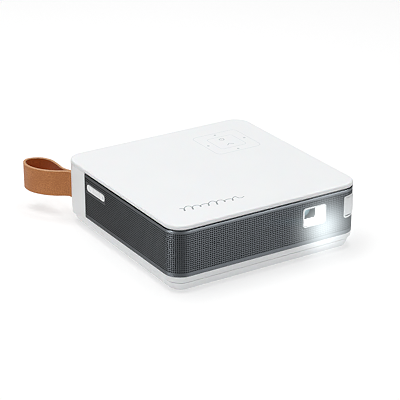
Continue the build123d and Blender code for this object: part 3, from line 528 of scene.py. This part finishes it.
# ------------------------------------------------------------------ perforated grille
CORNER = 12 * MM  # the case's corner radius
SUNK = 0.06 * MM  # the sheet's face lies this far inside the frames round its windows
SHEET = 0.45 * MM  # and its back this far
ROWS = 20
COLUMNS = 264
HOLE_RADIUS = 0.58 * MM
TOP_RIM = 1.8 * MM
ROLL = 0.6 * MM  # the top rim rolls inwards over this height
ROLL_IN = 0.12 * ROLL
LOW_RIM = 2.6 * MM
END_RIM = 0.8 * MM
WINDOW_WIDTH, WINDOW_HEIGHT = 18.7 * MM, 13.9 * MM  # the opening under the lens hood's frame
LEFT_JOIN = 20 * MM  # from the near corner's end to the join of the first two lengths
RIGHT_JOIN = 46 * MM  # from the far corner's start to the join of the last two

grille_low, grille_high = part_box("mesh_grille")
half_width = grille_high[0]
front = grille_low[1]
side_run = grille_high[1] - front - CORNER
bend_run = math.pi / 2 * CORNER
front_run = 2 * (half_width - CORNER)
front_start = side_run + bend_run
front_end = front_start + front_run
whole_run = front_end + bend_run + side_run


def along(run, inset):
    """Where the grille's face is, a run along it from its left rear end, drawn in by inset."""
    reach = CORNER - inset
    if run <= side_run:
        return (-half_width + inset, grille_high[1] - run)
    if run <= front_start:
        turn = (run - side_run) / CORNER
        x, y = -half_width + CORNER, front + CORNER
        return (x - reach * math.cos(turn), y - reach * math.sin(turn))
    if run <= front_end:
        return (-half_width + CORNER + run - front_start, front + inset)
    if run <= front_end + bend_run:
        turn = (run - front_end) / CORNER
        x, y = half_width - CORNER, front + CORNER
        return (x + reach * math.sin(turn), y - reach * math.cos(turn))
    return (half_width - inset, front + CORNER + run - front_end - bend_run)


pitch_along = (whole_run - 2 * END_RIM) / COLUMNS
pitch_up = (grille_high[2] - grille_low[2] - TOP_RIM - LOW_RIM) / ROWS
runs = [0.0, *(END_RIM + i * pitch_along for i in range(COLUMNS + 1)), whole_run]
levels = [grille_low[2], *(grille_low[2] + LOW_RIM + j * pitch_up for j in range(ROWS + 1))]
levels += [grille_high[2] - ROLL, grille_high[2]]

# The frames of the lens window and of the focus wheel cover the sheet's cut edge: each is its
# first and last run, and its lowest and highest level.
hood_low, hood_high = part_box("lens_hood")
window_run = front_start + (hood_low[0] + hood_high[0]) / 2 + half_width - CORNER
window_level = (hood_low[2] + hood_high[2]) / 2
bezel_low, bezel_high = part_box("focus_bezel")
framed = [
    (
        window_run - WINDOW_WIDTH / 2,
        window_run + WINDOW_WIDTH / 2,
        window_level - WINDOW_HEIGHT / 2,
        window_level + WINDOW_HEIGHT / 2,
    ),
    (
        front_start + bezel_low[0] + half_width - CORNER,
        front_end + bend_run + bezel_high[1] - front - CORNER,
        bezel_low[2],
        bezel_high[2],
    ),
]

# The power button stands in a clean slot in the sheet.
FLANGE = 1.2 * MM  # how far the button's hidden flange reaches past its cap
SLOT_GAP = 0.35 * MM
SLOT_ROOM = 0.15 * MM  # a cell nearer to the slot than this makes way for it
button_low, button_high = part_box("power_button")
slot_run = grille_high[1] - (button_low[1] + button_high[1]) / 2
slot_level = (button_low[2] + button_high[2]) / 2
slot_half = (button_high[1] - button_low[1]) / 2 - FLANGE + SLOT_GAP
slot_round = (button_high[2] - button_low[2]) / 2 - FLANGE + SLOT_GAP
slot_outline = []
for side in (1, -1):
    for k in range(13):
        turn = math.radians(side * (15 * k - 90))
        reach = slot_half - slot_round + slot_round * math.cos(turn)
        slot_outline.append((slot_run + side * reach, slot_level + slot_round * math.sin(turn)))

# A cell's eight rim points, in half cells: its corners and the middles of its sides.
RING = ((0, 0), (1, 0), (2, 0), (2, 1), (2, 2), (1, 2), (0, 2), (0, 1))


def middle(i, j):
    """The middle of a cell of the sheet, as a run and a level."""
    return (runs[i] + runs[i + 1]) / 2, (levels[j] + levels[j + 1]) / 2


def in_frame(i, j):
    """Whether a cell's middle lies inside one of the frames."""
    run, level = middle(i, j)
    return any(a < run < b and c < level < d for a, b, c, d in framed)


def by_slot(i, j):
    """Whether a cell comes near the button's slot."""
    run_low, run_high = slot_run - slot_half - SLOT_ROOM, slot_run + slot_half + SLOT_ROOM
    level_low, level_high = slot_level - slot_round - SLOT_ROOM, slot_level + slot_round + SLOT_ROOM
    beside = runs[i + 1] > run_low and runs[i] < run_high
    return beside and levels[j + 1] > level_low and levels[j] < level_high


def grille_panel(name, first, last):
    """The sheet between two columns: punched cells, plain rims, a wall at each open edge."""
    vertices, faces, known = [], [], {}

    def corner(key, run, level, inner):
        if (key, inner) not in known:
            known[key, inner] = len(vertices)
            rolled = SUNK + ROLL_IN if level == levels[-1] else SUNK
            vertices.append((*along(run, SHEET if inner else rolled), level))
        return known[key, inner]

    def ring(i, j, inner):
        run, level = middle(i, j)
        across = (runs[i], run, runs[i + 1])
        upward = (levels[j], level, levels[j + 1])
        return [corner((2 * i + a, 2 * j + b), across[a], upward[b], inner) for a, b in RING]

    def hole(i, j, inner):
        run, level = middle(i, j)
        turns = [math.radians(45 * k - 135) for k in range(8)]
        across = [run + HOLE_RADIUS * math.cos(t) for t in turns]
        upward = [level + HOLE_RADIUS * math.sin(t) for t in turns]
        return [corner((i, j, k), across[k], upward[k], inner) for k in range(8)]

    cells = [(i, j) for i in range(first, last) for j in range(len(levels) - 1)]
    patch = {cell for cell in cells if by_slot(*cell)}
    kept = {cell for cell in cells if not in_frame(*cell)} - patch
    for i, j in sorted(kept):
        outer, inner = ring(i, j, False), ring(i, j, True)
        if 0 < i <= COLUMNS and 0 < j <= ROWS:
            near, far = hole(i, j, False), hole(i, j, True)
            for k in range(8):
                n = (k + 1) % 8
                faces.append((outer[k], outer[n], near[n], near[k]))
                faces.append((near[k], near[n], far[n], far[k]))
                faces.append((far[k], far[n], inner[n], inner[k]))
        else:
            faces.append(tuple(outer))
            faces.append(tuple(reversed(inner)))
        for k, other in zip((0, 2, 4, 6), ((i, j - 1), (i + 1, j), (i, j + 1), (i - 1, j))):
            if other not in kept and other not in patch:
                for p, q in ((k, k + 1), (k + 1, (k + 2) % 8)):
                    faces.append((outer[p], inner[p], inner[q], outer[q]))
    if patch:
        # One plain piece of sheet, with the slot cut in it, stands in for the cells by the slot.
        across, upward = sorted({i for i, _ in patch}), sorted({j for _, j in patch})
        border = [(i, upward[0], 0) for i in across]
        border += [(across[-1], j, 2) for j in upward]
        border += [(i, upward[-1], 4) for i in reversed(across)]
        border += [(across[0], j, 6) for j in reversed(upward)]
        cut = {}
        for inner in (False, True):
            loop = [ring(i, j, inner)[k + half] for i, j, k in border for half in (0, 1)]
            cut[inner] = [corner(("slot", n), *spot, inner) for n, spot in enumerate(slot_outline)]
            flat = [[Vector(vertices[v][1:]).to_3d() for v in ids] for ids in (loop, cut[inner])]
            every = loop + cut[inner]
            faces += [tuple(every[v] for v in triangle) for triangle in tessellate_polygon(flat)]
        for n in range(len(slot_outline)):
            m = (n + 1) % len(slot_outline)
            faces.append((cut[False][n], cut[False][m], cut[True][m], cut[True][n]))
    panel = piece(name, vertices, faces, [finish["grille_metal"]], "case", 40)
    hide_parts("mesh_grille")


# Its three lengths part on the flat, so that no one mesh is too heavy.
left_part = next(i for i, run in enumerate(runs) if run > front_start + LEFT_JOIN)
right_part = next(i for i, run in enumerate(runs) if run > front_end - RIGHT_JOIN)
grille_panel("grille_left", 0, left_part)
grille_panel("grille_front", left_part, right_part)
grille_panel("grille_right", right_part, COLUMNS + 2)

# ------------------------------------------------------------------ top cover and its printing
INK = 0.03 * MM  # the ink's height; the cover's top is drawn lower by it, to make room
cover = linked("cover_shell", nodes["top_cover"].data.copy())
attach(cover, "case")
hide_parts("top_cover")
cover_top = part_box("top_cover")[1][2]
for vertex in cover.data.vertices:
    vertex.co.z = min(vertex.co.z, cover_top - INK)


def arc(centre, radius, start, end, points):
    """Points on an arc between two angles in degrees, in mm."""
    turns = [math.radians(start + (end - start) * k / (points - 1)) for k in range(points)]
    return [(centre[0] + radius * math.cos(t), centre[1] + radius * math.sin(t)) for t in turns]


def rounded_square(centre, half, radius):
    """The outline of a rounded square, in mm."""
    outline = []
    for k, (x, y) in enumerate(((1, 1), (-1, 1), (-1, -1), (1, -1))):
        bend = (centre[0] + x * (half - radius), centre[1] + y * (half - radius))
        outline += arc(bend, radius, 90 * k, 90 * k + 90, 8)
    return outline


def printed(name, strokes, ink):
    """Flat ribbons of ink on the cover; each stroke is its points and width in mm, and whether
    it closes on itself."""
    vertices, faces = [], []
    for points, width, closed in strokes:
        start, count = len(vertices), len(points)
        path = [Vector(point) * MM for point in points]
        for k, here in enumerate(path):
            before = path[k - 1] if closed or k else here
            after = path[(k + 1) % count] if closed or k < count - 1 else here
            way = (after - before).normalized()
            half = Vector((-way.y, way.x)) * width * MM / 2
            for level in (cover_top - 2 * INK, cover_top):
                vertices += [(*(here + half), level), (*(here - half), level)]
        for k in range(count if closed else count - 1):
            a, b = start + 4 * k, start + 4 * ((k + 1) % count)
            faces += [(a + 2, a + 3, b + 3, b + 2), (a, b, b + 1, a + 1)]
            faces += [(a, a + 2, b + 2, b), (a + 1, b + 1, b + 3, a + 3)]
        if not closed:
            end = start + 4 * count - 4
            faces += [(start, start + 1, start + 3, start + 2), (end, end + 2, end + 3, end + 1)]
    piece(name, vertices, faces, [ink], "case")


# The touch pad, in mm: two rounded outlines, a dot on each side, a power sign and an arrow.
PAD = (36.7, 35.5)
PAD_LINE, PAD_SIGN, PEN = 0.45, 0.6, 0.65  # widths of the printed lines
outlines = [rounded_square(PAD, 18.2, 4), rounded_square(PAD, 10.5, 2.5)]
printed("touch_pad_lines", [(outline, PAD_LINE, True) for outline in outlines], pale_ink)
pad_signs = [(arc(dot, 0.6, 0, 315, 8), PAD_SIGN, True) for dot in arc(PAD, 15.2, 0, 270, 4)]
pad_signs.append((arc((36.3, 41.2), 1.8, 120, 420, 12), PAD_SIGN, False))
pad_signs.append(([(36.3, 41.4), (36.3, 43.6)], PAD_SIGN, False))
pad_signs.append(([(33.8, 29.6), (36.6, 32.0), (39.4, 29.6)], PAD_SIGN, False))
printed("touch_pad_signs", pad_signs, mid_ink)

# A plain pen flourish, in mm: one leaning line whose loops swell twice, and that ends in a
# swing.
PEN_START, PEN_RUN, PEN_FALL = (-54, -49.6), 41, 3.4
LOOPS, LOOP_POINTS = 7, 30
SWAY, LEAN = 1.5, 0.35
flourish = []
for k in range(LOOP_POINTS * LOOPS + 1):
    t = k / (LOOP_POINTS * LOOPS)
    turn = 2 * math.pi * LOOPS * t
    swell = 1.3 + 2.0 * math.sin(2.2 * math.pi * t + 0.5) ** 2
    up = swell * math.cos(turn)
    x = PEN_START[0] + PEN_RUN * t + SWAY * math.sin(turn) + LEAN * up
    flourish.append((x, PEN_START[1] - PEN_FALL * t + up))
swing = [(-13 + 6 * t, -51.7 - 1.4 * t - 1.6 * math.sin(math.pi * t)) for t in (0.3, 0.6, 1.0)]
printed("pen_flourish", [(flourish + swing, PEN, False)], grey_ink)

# ------------------------------------------------------------------ leather strap
# The strap's grain side, as a line in mm round the loop. It starts and ends inside the case,
# where the strap's ends are clamped with their flesh sides together.
STRAP_X, LOOP_Y = -68.0, 72.0  # where the line's points are measured from
THICK = 1.8
TAIL = 19.0  # the length of each clamped end
SOFTENED = 0.5  # the radius of the leather's edges
EDGE_TURNS = (0, 0.5, 1.05, 1.57)  # angles in radians along a rounded edge
PATH_STEPS = 8
WIDTH_STEPS = 10
loop_bends = [(-4.2, 3.2), (-10.6, 7.4), (-17.2, 14.4), (-21.6, 23.5), (-21.6, 32.5)]
loop_bends += [(-17.6, 38.4), (-11.0, 38.6), (-5.2, 34.8), (-1.6, 27.5), (-1.2, 18.5), (-1.4, 9.0)]
strap_route = [(-THICK, -TAIL), (-THICK, -TAIL / 2), (-THICK, 0.0), *loop_bends]
strap_route += [(THICK, 0.0), (THICK, -TAIL / 2), (THICK, -TAIL)]


def smooth_path(points, steps):
    """A smooth line through points, with steps between each two."""
    ends = [points[0], *points, points[-1]]
    line = []
    for before, start, end, after in zip(ends, ends[1:], ends[2:], ends[3:]):
        for k in range(steps):
            t = k / steps
            pull, push = (end - before) / 2, (after - start) / 2
            line.append(
                start * (2 * t**3 - 3 * t**2 + 1)
                + pull * (t**3 - 2 * t**2 + t)
                + end * (3 * t**2 - 2 * t**3)
                + push * (t**3 - t**2)
            )
    return [*line, points[-1]]


def leather_strap():
    """One ribbon with softened edges, swept round the loop: grain side out, flesh side in, and
    lighter along its edges, where the colour is a painted highlight on the rims."""
    low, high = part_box("strap")
    half, centre = (high[2] - low[2]) / 2, (high[2] + low[2]) / 2
    soft, thick = SOFTENED * MM, THICK * MM
    rounding = [(soft * (1 - math.sin(t)), soft * (1 - math.cos(t))) for t in EDGE_TURNS]
    edge = [(across, half - down) for across, down in reversed(rounding)]
    edge += [(thick - across, half - down) for across, down in rounding]
    span = [(half - soft) * (1 - 2 * k / WIDTH_STEPS) for k in range(1, WIDTH_STEPS)]
    section = edge + [(thick, up) for up in span]
    section += [(across, -up) for across, up in reversed(edge)] + [(0.0, -up) for up in span]
    route = [Vector((STRAP_X + x, LOOP_Y + y)) * MM for x, y in strap_route]
    line = smooth_path(route, PATH_STEPS)
    vertices, faces = [], []
    for n, here in enumerate(line):
        way = (line[min(n + 1, len(line) - 1)] - line[max(n - 1, 0)]).normalized()
        inward = Vector((way.y, -way.x))
        vertices += [(*(here + inward * across), centre + up) for across, up in section]
    count = len(section)
    over = len(edge) - 1
    down = over + WIDTH_STEPS
    under = down + over
    # The edge faces take the lighter leather that paints a highlight along the rims.
    grain, flesh, highlit_edge = 0, 1, 2
    for n in range(len(line) - 1):
        for k in range(count):
            m = (k + 1) % count
            corners = tuple(n * count + v for v in (k, m, m + count, k + count))
            if k < over or down <= k < under:
                faces.append((corners, highlit_edge))
            else:
                faces.append((corners, flesh if k < down else grain))
    faces.append((tuple(range(count)), highlit_edge))
    faces.append((tuple(range(len(vertices) - count, len(vertices))), highlit_edge))
    leather = [finish["strap_leather"], flesh_side, edge_highlight_leather]
    strap = piece("strap_loop", vertices, faces, leather, "case", 50)
    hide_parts("strap")


leather_strap()

# ------------------------------------------------------------------ studio
scene.view_settings.view_transform = "Standard"
world = bpy.data.worlds.new("studio")
world.use_nodes = True
backdrop = world.node_tree.nodes["Background"]
backdrop.inputs["Color"].default_value = (1.0, 1.0, 1.0, 1.0)
backdrop.inputs["Strength"].default_value = 0.2
scene.world = world

CASE_MIDDLE = (0, 0, 0.02)


def lamp(name, kind, place, target, power):
    """A light of a kind, aimed at a target; its power is in watts."""
    made = linked(name, bpy.data.lights.new(name, kind))
    made.data.energy = power
    made.location = place
    made.rotation_euler = (Vector(target) - Vector(place)).to_track_quat("-Z", "Y").to_euler()
    return made


def softbox(name, place, width, height, power):
    """A soft studio light aimed at the case; its sizes are in metres."""
    made = lamp(name, "AREA", place, CASE_MIDDLE, power)
    made.data.shape = "RECTANGLE"
    made.data.size, made.data.size_y = width, height
    return made


def spot(name, place, target, power, angle, radius):
    """A lamp with a soft-edged cone of light; its angle is in degrees."""
    made = lamp(name, "SPOT", place, target, power)
    made.data.spot_size, made.data.spot_blend = math.radians(angle), 0.8
    made.data.shadow_soft_size = radius
    return made


softbox("top_light", (-0.1, 0.1, 1.4), 1.3, 1.3, 21.5)
softbox("left_light", (-1.3, -0.05, 0.5), 0.35, 0.9, 0.8)
softbox("front_light", (0.75, -1.15, 0.35), 0.6, 0.6, 0.5)

# Two lights that are flagged off everything but the grille lift the bars between its holes,
# and draw the bright upright highlight at its near corner.
near_corner = (-half_width, front, 0.025)
flagged = bpy.data.collections.new("grille_only")
for name in ("grille_left", "grille_front", "grille_right"):
    flagged.objects.link(bpy.data.objects[name])
for light in (
    softbox("front_strip", (0.7, -1.1, 0.3), 0.6, 0.6, 85),
    spot("corner_spot", (-1.3, -0.05, 0.06), near_corner, 760, 3.6, 0.06),
):
    light.light_linking.receiver_collection = flagged

# The projector's own light: it floods the hood from just before the lens, and moves with it.
LAMP_GAP = 0.5 * MM
lens_low, lens_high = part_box("front_lens")
lens_x, lens_level = (lens_low[0] + lens_high[0]) / 2, (lens_low[2] + lens_high[2]) / 2
lens_front = (lens_x, lens_low[1] - LAMP_GAP, lens_level)
beam = spot("lens_beam", lens_front, (lens_x, -1.0, lens_level), 0.011, 160, 2 * MM)
beam.data.color = (0.92, 0.99, 1.0)
beam.parent = nodes["front_lens"]

# ------------------------------------------------------------------ floor
REACH = 20.0  # metres, so that its far edge stays out of low views
floor_mesh = bpy.data.meshes.new("floor")
corners = [(-REACH, -REACH, 0), (REACH, -REACH, 0), (REACH, REACH, 0), (-REACH, REACH, 0)]
floor_mesh.from_pydata(corners, [], [(0, 1, 2, 3)])
floor = linked("floor", floor_mesh)


def matt_paper():
    """Seamless white studio paper: even and matt, bright enough to lose its edges."""
    paper, place = bare("matt_paper")
    fibre = node(paper, "TexNoise", "Fac", {"Vector": place, "Scale": per(1.5), "Detail": 4.0})
    colour = node(
        paper,
        "Mix",
        "Result",
        {"Factor": fibre, "A": linear("#c4c4c4"), "B": linear("#c8c8c8")},
        data_type="RGBA",
    )
    surface = {"Base Color": colour, "Roughness": 0.9, "Specular IOR Level": 0.1}
    surface.update({"Emission Color": (1.0, 1.0, 1.0, 1.0), "Emission Strength": 0.455})
    return finished(paper, surface)


floor_mesh.materials.append(matt_paper())

# ------------------------------------------------------------------ glow of the lit window
# Light that is brighter than white scatters in the camera's lens: a veil below and right of
# the window, and a faint blue-green ray across it.
EYE = 2.2  # the edges are crisped on the eye's curve, so that no dark line rings a white part
scene.use_nodes = True
scene.node_tree.nodes.clear()
picture = node(scene, "RLayers", "Image", {})
curved = node(scene, "Gamma", "Image", {"Image": picture, "Gamma": 1 / EYE})
crisped = node(
    scene, "Filter", "Image", {"Fac": 0.26, "Image": curved}, filter_type="SHARPEN_DIAMOND"
)
crisp = node(scene, "Gamma", "Image", {"Image": crisped, "Gamma": EYE})
hot = node(
    scene,
    "Glare",
    "Highlights",
    {"Image": picture, "Threshold": 1.3, "Clamp": True, "Maximum": 0.4},
    glare_type="FOG_GLOW",
)
haze = node(scene, "Blur", "Image", {"Image": hot}, filter_type="GAUSS", size_x=34, size_y=38)
bright = node(scene, "Exposure", "Image", {"Image": haze, "Exposure": 4.9})
veil = node(scene, "Translate", "Image", {"Image": bright, "X": 11.0, "Y": -10.0})
veiled = node(scene, "MixRGB", "Image", {0: 1.0, 1: crisp, 2: veil}, blend_type="ADD")
streak = node(scene, "Blur", "Image", {"Image": hot}, filter_type="GAUSS", size_x=60, size_y=3)
tint = (0.12, 0.32, 0.38, 1.0)
ray = node(scene, "MixRGB", "Image", {0: 1.0, 1: streak, 2: tint}, blend_type="MULTIPLY")
glowing = node(scene, "MixRGB", "Image", {0: 1.0, 1: veiled, 2: ray}, blend_type="ADD")
node(scene, "Composite", None, {"Image": glowing})
